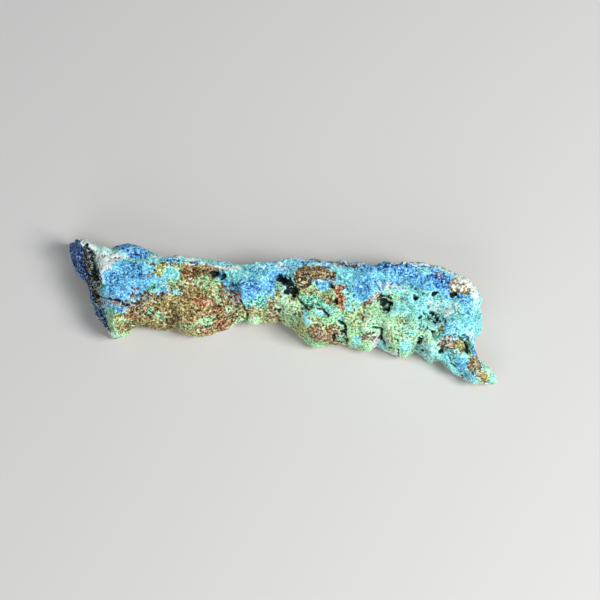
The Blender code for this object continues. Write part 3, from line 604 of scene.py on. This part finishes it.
@dataclass
class CrustedStone:
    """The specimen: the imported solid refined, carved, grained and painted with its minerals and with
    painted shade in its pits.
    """

    grid: SurveyGrid
    node: str = "chrysocolla_specimen"
    slot: str = "chrysocolla_crust"
    voxel: float = 0.37 * MM
    fine_facing: float = 0.12  # faces turned to the survey more than this are made twice as fine
    seam: float = 6.8  # height in mm where the crust ends on the walls
    ragged: float = 2.6  # squares by which the edges of patches wander
    full_ragged: float = 12.0  # squares; narrower patches have edges that wander less
    ragged_size: float = 1.1  # mm from bay to bay of those edges
    flutter_size: float = 0.45  # mm from notch to notch on them
    overlap: float = 0.7  # squares by which a patch reaches past its outline
    fade: float = 2.4  # squares over which islands thin it out
    island_size: float = 0.55  # mm from island to island where minerals mix
    small_grown: tuple[Mineral, ...] = (DARK, RUST)
    small: float = 0.7  # size of the islands of those two, as a share of the others'
    dome_size: float = 0.58  # mm from grain to grain of the crust
    seed_size: float = 0.36  # mm from grain to grain of the finer crust
    facet_size: float = 2.2  # mm from facet to facet of broken rock
    bed: float = 0.12  # mm by which the crust starts below the solid's faces
    even_passes: int = 2
    crisp: float = 0.86  # how much of the relief stays at each pass that evens it out
    spike: float = 0.07  # mm by which a corner of the mesh may stand out from its neighbours
    fold: float = 0.4  # cosine of the turn past which a corner counts as folded over
    unfold_passes: int = 4
    flat: float = 0.03  # mm, what lies lower is the flat that the stone rests on
    seed: int = 12  # picks the pattern of swirls and tilts, which would otherwise differ from run to run

    def build(self) -> bpy.types.Object:
        """Makes the stone and puts it in the frame.

        Returns:
            The finished piece.
        """
        stone = self.copy_solid()
        self.refine(stone)
        self.sculpt(stone)
        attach(stone, "root")
        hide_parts(self.node)
        stone.data.materials.clear()
        stone.data.materials.append(CrustMaterial().build())
        LOG.info("%s: %d faces", stone.name, len(stone.data.polygons))
        return stone

    def copy_solid(self) -> bpy.types.Object:
        """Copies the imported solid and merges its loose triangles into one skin.

        Returns:
            The copy.
        """
        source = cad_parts[self.node]
        stone = bpy.data.objects.new("crusted_stone", source.data.copy())
        bpy.context.scene.collection.objects.link(stone)
        bpy.ops.object.select_all(action="DESELECT")
        stone.select_set(True)
        bpy.context.view_layer.objects.active = stone
        bpy.ops.object.mode_set(mode="EDIT")
        bpy.ops.mesh.select_all(action="SELECT")
        bpy.ops.mesh.remove_doubles(threshold=1e-6)
        bpy.ops.mesh.normals_make_consistent(inside=False)
        bpy.ops.object.mode_set(mode="OBJECT")
        return stone

    def refine(self, stone: bpy.types.Object) -> None:
        """Gives the stone an even fine mesh, twice as fine where the crust shows.

        Args:
            stone: The merged copy of the solid.
        """
        remesh = stone.modifiers.new("even_mesh", "REMESH")
        remesh.mode = "VOXEL"
        remesh.voxel_size = self.voxel
        bpy.ops.object.modifier_apply(modifier=remesh.name)
        mesh = stone.data
        turned = self.grid.facing(vectors(mesh.polygons, "normal")) > self.fine_facing
        bpy.ops.object.mode_set(mode="EDIT")
        bpy.ops.mesh.select_mode(type="FACE")
        bpy.ops.mesh.select_all(action="DESELECT")
        bpy.ops.object.mode_set(mode="OBJECT")
        mesh.polygons.foreach_set("select", turned)
        bpy.ops.object.mode_set(mode="EDIT")
        bpy.ops.mesh.subdivide(number_cuts=1, smoothness=0.0)
        bpy.ops.mesh.select_all(action="SELECT")
        bpy.ops.mesh.vertices_smooth(factor=0.5, repeat=3)
        bpy.ops.mesh.quads_convert_to_tris(quad_method="BEAUTY", ngon_method="BEAUTY")
        bpy.ops.object.mode_set(mode="OBJECT")

    def sculpt(self, stone: bpy.types.Object) -> None:
        """Lays out the minerals, then carves the pits and cracks and raises the grains.

        Args:
            stone: The refined stone.
        """
        noise.seed_set(self.seed)
        mesh = stone.data
        skin = self.survey(mesh)
        hollow = self.hollows(skin)
        shares = self.lay_out(skin, hollow)
        height = self.relief(skin.points, shares, hollow)
        for _ in range(self.even_passes):
            mean = self.neighbour_mean(mesh, height[:, None])[:, 0]
            height = mean + np.clip(self.crisp * (height - mean), -self.spike, self.spike)

        floor = (skin.places[:, 2] < self.flat * MM) & (skin.normals[:, 2] < -0.5)
        height[floor] = 0.0
        moved = skin.places + skin.normals * (height * MM)[:, None]
        low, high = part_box(self.node)
        moved = np.clip(moved, np.array(low), np.array(high))
        moved[floor, 2] = low[2]
        moved = self.unfold(mesh, moved, skin.normals, ~floor)

        self.write_attributes(mesh, moved, shares)
        for polygon in mesh.polygons:
            polygon.use_smooth = True

    def survey(self, mesh: bpy.types.Mesh) -> Skin:
        """Reads the mesh's vertices and finds their squares on the grid.

        Args:
            mesh: The refined mesh.

        Returns:
            Its vertices, with the noise of their outlines.
        """
        places = vectors(mesh.vertices, "co")
        points = [Vector(p) for p in (places / MM).tolist()]
        wander = noise_field(points, self.ragged_size, 1)
        flutter = noise_field(points, self.flutter_size, 2, 2)
        u, v = self.grid.squares(places)
        return Skin(places, vectors(mesh.vertices, "normal"), points, u, v, wander, flutter)

    def unfold(
        self, mesh: bpy.types.Mesh, moved: np.ndarray, normals: np.ndarray, free: np.ndarray
    ) -> np.ndarray:
        """Sets the mesh to its new places and eases out the corners that they fold over.

        Args:
            mesh: The stone's mesh.
            moved: The new place of each vertex, in metres.
            normals: Its normal before it moved.
            free: Whether it may be eased.

        Returns:
            The places as they end up.
        """
        for _ in range(self.unfold_passes):
            mesh.vertices.foreach_set("co", moved.ravel())
            mesh.update()
            folded = free & ((vectors(mesh.vertices, "normal") * normals).sum(axis=1) < self.fold)
            moved = np.where(folded[:, None], self.neighbour_mean(mesh, moved), moved)
        mesh.vertices.foreach_set("co", moved.ravel())
        mesh.update()
        return moved

    def hollows(self, skin: Skin) -> np.ndarray:
        """Works out how deep the pits and cracks cut.

        Args:
            skin: The vertices of the stone.

        Returns:
            The depth at each vertex, in mm.
        """
        depth = np.zeros(skin.u.shape)
        for pit in PITS:
            inside = 1.12 - pit.reach(skin.u, skin.v) + 0.55 * skin.wander + 0.9 * skin.flutter
            depth = np.maximum(depth, pit.depth * ramp(inside, 0.0, 0.6))
        for crack in CRACKS:
            away = line_distance(crack.line, skin.u + skin.wander, skin.v + skin.flutter)
            inside = crack.width / 2 + 0.1 - away + 0.7 * skin.flutter
            depth = np.maximum(depth, crack.depth * ramp(inside, 0.0, 0.9))
        return depth

    def lay_out(self, skin: Skin, hollow: np.ndarray) -> Shares:
        """Shares the surface out among the minerals.

        Args:
            skin: The vertices of the stone.
            hollow: Depth of the pits and cracks in mm.

        Returns:
            The share of each mineral at each vertex. The shares of a vertex add up to 1.
        """
        crust, rock = self.lay_out_crust(skin), self.lay_out_rock(skin.points)
        facing = self.grid.facing(skin.normals)
        height = skin.places[:, 2] / MM
        drape = 2.6 * noise_field(skin.points, 8.0, 35, 2) + 1.3 * skin.wander
        lap = ramp(height + drape, self.seam - 0.4, self.seam + 0.6) * ramp(skin.normals[:, 2], -0.45, -0.15)
        shown = np.maximum(ramp(facing + 0.16 * skin.wander, 0.02, 0.16), lap)
        shares = {m: crust[m] * shown + rock[m] * (1.0 - shown) for m in Mineral}
        # painted shade: pits and cracks that are deep enough and face the survey are coloured near black
        painted_shade_cover = ramp(hollow, 0.12, 0.34) * np.clip(1.15 + 0.9 * skin.flutter, 0.0, 1.0)
        self.paint(shares, DARK, painted_shade_cover * ramp(facing, -0.1, 0.1))
        return shares

    def lay_out_crust(self, skin: Skin) -> Shares:
        """Lays the patches and strips of the crust over each other, on a ground of green.

        Args:
            skin: The vertices of the stone.

        Returns:
            The share of each mineral at each vertex.
        """
        sizes = {m: self.island_size * (self.small if m in self.small_grown else 1.0) for m in Mineral}
        islands = {m: noise_field(skin.points, sizes[m], 11 + i, 2) for i, m in enumerate(Mineral)}
        crust = {m: np.zeros(len(skin.points)) for m in Mineral}
        crust[GREEN][:] = 1.0
        for feature in LAYOUT:
            ragged = self.ragged * min(1.0, 0.25 + feature.size / self.full_ragged)
            inside = feature.cover(skin.u, skin.v) + ragged * skin.wander
            full = np.clip((inside + self.overlap) / self.fade, -3.0, 1.0)
            lift = min(0.35 * log(feature.share / (1.001 - feature.share)), 1.0)
            cover = ramp(lift + 1.2 * (full - 1.0) + 1.4 * islands[feature.mineral], -0.45, 0.45)
            self.paint(crust, feature.mineral, cover)
        return crust

    def lay_out_rock(self, points: list[Vector]) -> Shares:
        """Shares the vein rock of the walls and the underside out among the minerals.

        Args:
            points: The vertices in mm.

        Returns:
            The share of each mineral at each vertex.
        """
        broad = noise_field(points, 7.0, 31, 3)
        other = noise_field(points, 5.0, 32, 3)
        small = noise_field(points, 1.1, 33, 3)
        fine = noise_field(points, 0.5, 34, 2)
        rock = {m: np.zeros(len(points)) for m in Mineral}
        rock[BROWN][:] = 1.0
        for mineral, field, low, high in (
            (OCHRE, broad + 0.6 * small, -0.15, 0.15),
            (RUST, other + 0.5 * small + 0.3 * fine, 0.32, 0.5),
            (WHITE, -broad - 0.5 * small + 0.4 * fine, 0.62, 0.78),
            (GREEN, -other + 0.8 * small, 0.42, 0.6),
            (TEAL, -other + 0.6 * small + 0.3 * fine, 0.66, 0.8),
            (AZURE, broad - other + 0.7 * small, 0.95, 1.1),
            # small pits over the walls, coloured near black as painted shade
            (DARK, -small + 0.5 * fine, 0.62, 0.8),
        ):
            self.paint(rock, mineral, ramp(field, low, high))
        return rock

    @staticmethod
    def paint(shares: Shares, mineral: Mineral, cover: np.ndarray) -> None:
        """Lays one mineral over the others.

        Args:
            shares: The share of each mineral at each vertex, changed in place.
            mineral: The one on top.
            cover: How much it covers at each vertex, 0 to 1.
        """
        for other in shares.values():
            other *= 1.0 - cover
        shares[mineral] += cover

    def relief(self, points: list[Vector], shares: Shares, hollow: np.ndarray) -> np.ndarray:
        """Works out how far each vertex stands out from the solid.

        Args:
            points: The vertices in mm.
            shares: The share of each mineral at each vertex.
            hollow: Depth of the pits and cracks in mm.

        Returns:
            The height of each vertex in mm, below 0 for inwards.
        """
        swirled = warped(points, 1.0, 0.45, 3)
        domes, lift = grain_field(swirled, self.dome_size, 5)
        seeds, _ = grain_field(swirled, self.seed_size, 6)
        facets = facet_field(warped(points, 2.0, 0.5, 4), self.facet_size, 8)
        facets += 0.5 * facet_field(swirled, self.facet_size * 0.5, 9)
        crumbs = noise_field(points, 0.9, 7, 4)
        patchy = 0.45 + 0.75 * ramp(noise_field(points, 2.4, 10, 2), -0.5, 0.5)
        layers = ("thickness", "dome", "crumble", "facet")
        mix = {k: sum(shares[m] * getattr(FINISHES[m], k) for m in Mineral) for k in layers}
        grains = patchy * (1.3 * (domes - 0.55) + 0.55 * (seeds - 0.55) + 0.3 * lift)
        relief = mix["dome"] * grains + mix["crumble"] * crumbs + mix["facet"] * facets
        return mix["thickness"] + relief - hollow - self.bed

    @staticmethod
    def neighbour_mean(mesh: bpy.types.Mesh, values: np.ndarray) -> np.ndarray:
        """Averages values over each vertex's neighbours.

        Args:
            mesh: The mesh whose edges join them.
            values: One row of numbers per vertex.

        Returns:
            The averages, in rows of the same length.
        """
        edges = np.empty(len(mesh.edges) * 2, dtype=np.int64)
        mesh.edges.foreach_get("vertices", edges)
        a, b = edges.reshape(-1, 2).T
        count = len(values)
        links = np.bincount(a, minlength=count) + np.bincount(b, minlength=count)
        columns = [np.bincount(a, col[b], count) + np.bincount(b, col[a], count) for col in values.T]
        return np.stack(columns, axis=1) / links[:, None]

    def write_attributes(self, mesh: bpy.types.Mesh, places: np.ndarray, shares: Shares) -> None:
        """Writes the shares of the minerals, and how hollow or proud each place is, onto the mesh, for the
        painted shade in hollows and painted highlight on crests.

        Args:
            mesh: The stone's mesh.
            places: Its vertices in metres.
            shares: The share of each mineral at each vertex.
        """
        normals, smooth, passes = vectors(mesh.vertices, "normal"), places, 0
        values = {m.value: share for m, share in shares.items()}
        for name, last_pass, reach in (("hollow_fine", 3, 0.10), ("hollow_broad", 12, 0.30)):
            while passes < last_pass:
                smooth, passes = self.neighbour_mean(mesh, smooth), passes + 1
            sunk = ((smooth - places) * normals).sum(axis=1) / MM
            values[name] = np.clip(0.5 + sunk / reach, 0.0, 1.0)
        for name, value in values.items():
            mesh.attributes.new(name, "FLOAT", "POINT").data.foreach_set("value", value.astype(np.float32))


# ---- the material -------------------------------------------------------------------------------------
def linear(code: str) -> tuple[float, float, float, float]:
    """Turns a hex colour into the linear values that sockets take."""
    parts = [int(code[i : i + 2], 16) / 255 for i in (1, 3, 5)]
    return (*[p / 12.92 if p <= 0.04045 else ((p + 0.055) / 1.055) ** 2.4 for p in parts], 1.0)


Socket = bpy.types.NodeSocket


class NodeBuilder:
    """Places and links nodes in one tree."""

    def __init__(self, tree: bpy.types.NodeTree) -> None:
        """Starts on a tree."""
        self.tree = tree

    def add(self, kind: str, inputs: dict | None = None, **settings: object) -> bpy.types.Node:
        """Adds a node.

        Args:
            kind: The node's type name, without its Shader prefix where that is ShaderNode.
            inputs: Values or sockets for its inputs, by name or index.
            settings: Properties to set on the node first.

        Returns:
            The node.
        """
        node = self.tree.nodes.new(kind if kind.startswith("Node") else "ShaderNode" + kind)
        for key, value in settings.items():
            setattr(node, key, value)
        for key, value in (inputs or {}).items():
            socket = node.inputs[key]
            if isinstance(value, Socket):
                self.tree.links.new(value, socket)
            else:
                socket.default_value = value
        return node

    def math(self, operation: str, *values: object, clamp: bool = False) -> Socket:
        """Adds a Math node and returns its output."""
        return self.add("Math", dict(enumerate(values)), operation=operation, use_clamp=clamp).outputs[0]

    def mix(self, factor: object, a: object, b: object) -> Socket:
        """Adds a colour Mix node and returns its output."""
        return self.add("Mix", {0: factor, 6: a, 7: b}, data_type="RGBA").outputs[2]

    def share(self, name: str) -> Socket:
        """Reads one of the mesh's own attributes."""
        return self.add("Attribute", attribute_name=name).outputs["Fac"]


def new_group(
    name: str, inputs: dict[str, str], outputs: dict[str, str]
) -> tuple[NodeBuilder, bpy.types.Node, bpy.types.Node]:
    """Starts a shader node group.

    Args:
        name: The group's name.
        inputs: Kind of socket for each input name: Float, Color or Vector.
        outputs: The same for the outputs.

    Returns:
        A builder on the group's tree, its input node and its output node.
    """
    tree = bpy.data.node_groups.new(name, "ShaderNodeTree")
    for side, sockets in (("INPUT", inputs), ("OUTPUT", outputs)):
        for socket, kind in sockets.items():
            tree.interface.new_socket(name=socket, in_out=side, socket_type="NodeSocket" + kind)
    nodes = NodeBuilder(tree)
    return nodes, nodes.add("NodeGroupInput"), nodes.add("NodeGroupOutput")


def grain_group() -> bpy.types.NodeTree:
    """Makes the group of the fine grain: a tone from clouds, blotches, speckles and threads, and a height.

    Returns:
        The group's tree.
    """
    nodes, given, out = new_group(
        "crust_grain",
        {"Cloud Scale": "Float", "Blotch Scale": "Float", "Speckle Scale": "Float"},
        {"Tone": "Float", "Height": "Float"},
    )
    place = nodes.add("TexCoord").outputs["Object"]
    tone: Socket | float = 0.5
    fields = {}
    kinds = (("Cloud", 2.0, 0.4, 0.6), ("Blotch", 3.0, 0.9, 0.8), ("Speckle", 1.0, 0.8, 5.0))
    for name, detail, swirl, weight in kinds:
        scale = given.outputs[name + " Scale"]
        inputs = {"Vector": place, "Scale": scale, "Detail": detail, "Distortion": swirl}
        fields[name] = nodes.add("TexNoise", inputs).outputs[0]
        tone = nodes.math("MULTIPLY_ADD", nodes.math("SUBTRACT", fields[name], 0.5), weight, tone)
    threads = nodes.math("ABSOLUTE", nodes.math("SUBTRACT", fields["Blotch"], 0.47))
    threads = nodes.math("MULTIPLY_ADD", threads, -18.0, 0.55, clamp=True)
    tone = nodes.math("SUBTRACT", tone, nodes.math("MULTIPLY", threads, fields["Cloud"]))
    nodes.tree.links.new(tone, out.inputs["Tone"])
    nodes.tree.links.new(nodes.math("SUBTRACT", fields["Speckle"], threads), out.inputs["Height"])
    return nodes.tree


def tone_group() -> bpy.types.NodeTree:
    """Makes the group that adds one mineral's colour and roughness to the sum of the others.

    Returns:
        The group's tree.
    """
    nodes, given, out = new_group(
        "mineral_tone",
        {
            "Deep": "Color", "Mid": "Color", "Pale": "Color", "Contrast": "Float", "Matt": "Float",
            "Tone": "Float", "Share": "Float", "Under Color": "Color", "Under Roughness": "Float",
        },
        {"Color": "Color", "Roughness": "Float"},
    )  # fmt: skip
    tone = nodes.math("SUBTRACT", given.outputs["Tone"], 0.5)
    tone = nodes.math("MULTIPLY_ADD", tone, given.outputs["Contrast"], 0.53)
    lower = nodes.math("MULTIPLY", tone, 2.0, clamp=True)
    upper = nodes.math("MULTIPLY_ADD", tone, 2.0, -1.0, clamp=True)
    colour = nodes.mix(lower, given.outputs["Deep"], given.outputs["Mid"])
    colour = nodes.mix(upper, colour, given.outputs["Pale"])
    # near-black pinholes where the tone is lowest: partly dark grain, partly painted shade in the small
    # hollows that lower the tone
    pinholes_and_painted_shade = nodes.math("MULTIPLY_ADD", tone, -3.0, 0.1, clamp=True)
    colour = nodes.mix(pinholes_and_painted_shade, colour, linear("#0a1012"))
    # near-white tips where the tone is highest: partly pale grain, partly painted glints on the crests that
    # raise it
    pale_tips_and_painted_glints = nodes.math("MULTIPLY_ADD", tone, 2.2, -2.6, clamp=True)
    colour = nodes.mix(pale_tips_and_painted_glints, colour, linear("#f2fbf4"))
    share = given.outputs["Share"]
    part = nodes.add("VectorMath", {0: colour, "Scale": share}, operation="SCALE").outputs[0]
    total = nodes.add("VectorMath", {0: part, 1: given.outputs["Under Color"]}, operation="ADD").outputs[0]
    nodes.tree.links.new(total, out.inputs["Color"])
    rough = nodes.math("MULTIPLY_ADD", given.outputs["Matt"], share, given.outputs["Under Roughness"])
    nodes.tree.links.new(rough, out.inputs["Roughness"])
    return nodes.tree


@dataclass(frozen=True)
class CrustMaterial:
    """The one finish of the stone: every mineral where its attribute puts it."""

    name: str = "chrysocolla_crust"
    cloud: float = 3.0  # mm from cloud to cloud of tone
    blotch: float = 0.62  # the same from blotch to blotch
    speckle: float = 0.30  # and from speckle to speckle
    hollow_painted_shade: float = 1.1  # painted shade and highlight: how much darker in tone small hollows are than crests
    shade: float = 0.8  # painted shade: how much darker in colour broad hollows are, and paler broad crests
    darkest: float = 0.35  # limits of that painted shade and highlight
    brightest: float = 1.12
    bump: float = 0.06 * MM
    bump_strength: float = 0.8
    specular: float = 0.35

    def build(self) -> bpy.types.Material:
        """Makes the material.

        Returns:
            The material.
        """
        material = bpy.data.materials.new(self.name)
        material.use_nodes = True
        material.node_tree.nodes.clear()
        nodes = NodeBuilder(material.node_tree)
        grain = nodes.add("Group", node_tree=grain_group())
        for name, size in (("Cloud", self.cloud), ("Blotch", self.blotch), ("Speckle", self.speckle)):
            grain.inputs[name + " Scale"].default_value = 1.0 / (size * MM)
        fine, broad = nodes.share("hollow_fine"), nodes.share("hollow_broad")
        # painted shade and highlight: the tone drops in small hollows and rises on crests
        proud = nodes.math("SUBTRACT", 0.5, fine)
        tone = nodes.math("MULTIPLY_ADD", proud, self.hollow_painted_shade, grain.outputs["Tone"])
        tree = tone_group()
        colour, rough = (0.0, 0.0, 0.0, 1.0), 0.0
        for mineral in Mineral:
            finish = FINISHES[mineral]
            inputs = {
                "Deep": linear(finish.deep), "Mid": linear(finish.mid), "Pale": linear(finish.pale),
                "Contrast": finish.contrast, "Matt": finish.roughness, "Tone": tone,
                "Share": nodes.share(mineral.value), "Under Color": colour, "Under Roughness": rough,
            }  # fmt: skip
            part = nodes.add("Group", inputs, node_tree=tree)
            colour, rough = part.outputs["Color"], part.outputs["Roughness"]
        # painted shade and highlight: the colour is darkened in broad hollows and lifted on broad crests
        shade = nodes.math("MULTIPLY_ADD", nodes.math("SUBTRACT", broad, 0.5), -self.shade, 1.0)
        shade = nodes.math("MINIMUM", nodes.math("MAXIMUM", shade, self.darkest), self.brightest)
        colour = nodes.add("VectorMath", {0: colour, "Scale": shade}, operation="SCALE").outputs[0]
        height = grain.outputs["Height"]
        bump = nodes.add("Bump", {"Height": height, "Distance": self.bump, "Strength": self.bump_strength})
        inputs = {"Base Color": colour, "Roughness": rough, "Normal": bump.outputs[0]}
        shader = nodes.add("BsdfPrincipled", {**inputs, "Specular IOR Level": self.specular})
        nodes.add("OutputMaterial", {"Surface": shader.outputs[0]})
        return material


# ---- the studio ---------------------------------------------------------------------------------------
@dataclass(frozen=True)
class SoftLight:
    """A square area light. Its place is in metres and it points at the stone."""

    name: str
    place: tuple[float, float, float]
    size: float
    power: float
    colour: tuple[float, float, float] = (1.0, 1.0, 1.0)


@dataclass
class Studio:
    """The pale floor, the soft lights and the camera."""

    grid: SurveyGrid
    floor_size: float = 3.0
    frame_squares: float = 600.0
    lights: tuple[SoftLight, ...] = (
        SoftLight("key_light", (0.32, -0.16, 0.40), 0.20, 2.5, (1.0, 0.99, 0.97)),
        SoftLight("fill_light", (-0.12, -0.46, 0.30), 0.40, 0.8, (0.95, 0.98, 1.0)),
    )
    sky: float = 0.22

    def build(self) -> None:
        """Makes the floor, the lights, the world and the camera."""
        self.make_floor()
        for light in self.lights:
            self.make_light(light)
        world = bpy.data.worlds.new("soft_sky")
        world.use_nodes = True
        world.node_tree.nodes["Background"].inputs["Color"].default_value = (0.93, 0.96, 1.0, 1.0)
        world.node_tree.nodes["Background"].inputs["Strength"].default_value = self.sky
        bpy.context.scene.world = world
        bpy.context.scene.view_settings.view_transform = "Standard"
        self.make_camera()

    def make_floor(self) -> None:
        """Makes the plain pale floor."""
        bpy.ops.object.select_all(action="DESELECT")
        bpy.ops.mesh.primitive_plane_add(size=self.floor_size, location=(0.0, 0.0, 0.0))
        floor = bpy.context.active_object
        floor.name = "studio_floor"
        material = bpy.data.materials.new("pale_floor")
        material.use_nodes = True
        shader = material.node_tree.nodes["Principled BSDF"]
        shader.inputs["Base Color"].default_value = (0.72, 0.72, 0.71, 1.0)
        shader.inputs["Roughness"].default_value = 0.85
        shader.inputs["Specular IOR Level"].default_value = 0.2
        floor.data.materials.append(material)

    def make_light(self, light: SoftLight) -> None:
        """Hangs one light, turned to the stone.

        Args:
            light: Its place, size, power and colour.
        """
        data = bpy.data.lights.new(light.name, "AREA")
        data.shape, data.size, data.energy, data.color = "SQUARE", light.size, light.power, light.colour
        lamp = bpy.data.objects.new(light.name, data)
        lamp.location = light.place
        lamp.rotation_mode = "QUATERNION"
        lamp.rotation_quaternion = (Vector(light.place) - self.grid.aim).to_track_quat("Z", "Y")
        bpy.context.scene.collection.objects.link(lamp)

    def make_camera(self) -> None:
        """Puts the camera at the survey point, so that a grid square is one picture element across."""
        data = bpy.data.cameras.new("survey_camera")
        data.sensor_width = 36.0
        data.lens = data.sensor_width * self.grid.distance / (self.frame_squares * self.grid.square)
        data.clip_start, data.clip_end = 0.01, 10.0
        camera = bpy.data.objects.new("survey_camera", data)
        camera.location = self.grid.station()
        camera.rotation_mode = "QUATERNION"
        camera.rotation_quaternion = self.grid.back().to_track_quat("Z", "Y")
        bpy.context.scene.collection.objects.link(camera)
        bpy.context.scene.camera = camera


def main() -> None:
    """Builds the stone and its studio, and logs the stone's face count and when each is done."""
    logging.basicConfig(level=logging.INFO, format="%(name)s %(message)s")
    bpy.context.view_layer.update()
    grid = SurveyGrid()
    stone = CrustedStone(grid).build()
    LOG.info("piece %s is done", stone.name)
    Studio(grid).build()
    LOG.info("studio is done")


if __name__ == "__main__":
    main()
